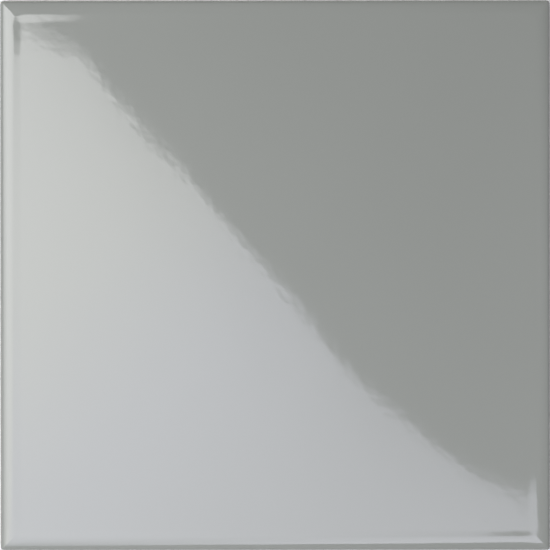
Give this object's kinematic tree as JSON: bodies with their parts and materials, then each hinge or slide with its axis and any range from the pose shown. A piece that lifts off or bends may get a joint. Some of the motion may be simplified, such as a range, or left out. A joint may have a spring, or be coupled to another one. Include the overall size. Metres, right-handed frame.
{
  "type": "square wall tile",
  "caption": "Flat square glazed ceramic wall tile with a cushion edge all round the face, mitred at the corners, and a waffle of shallow keying pockets pressed into the back for the adhesive.",
  "frame": {"origin": "middle of the bedding plane, which is the plane of the ribs under the tile", "axes": "+Z out of the glazed face, +X and +Y along the sides of the square"},
  "size_m": [0.148, 0.148, 0.0065],
  "materials": {
    "glaze": "gloss"
  },
  "bodies": {
    "root": {"tile": "glaze"}
  },
  "joints": []
}
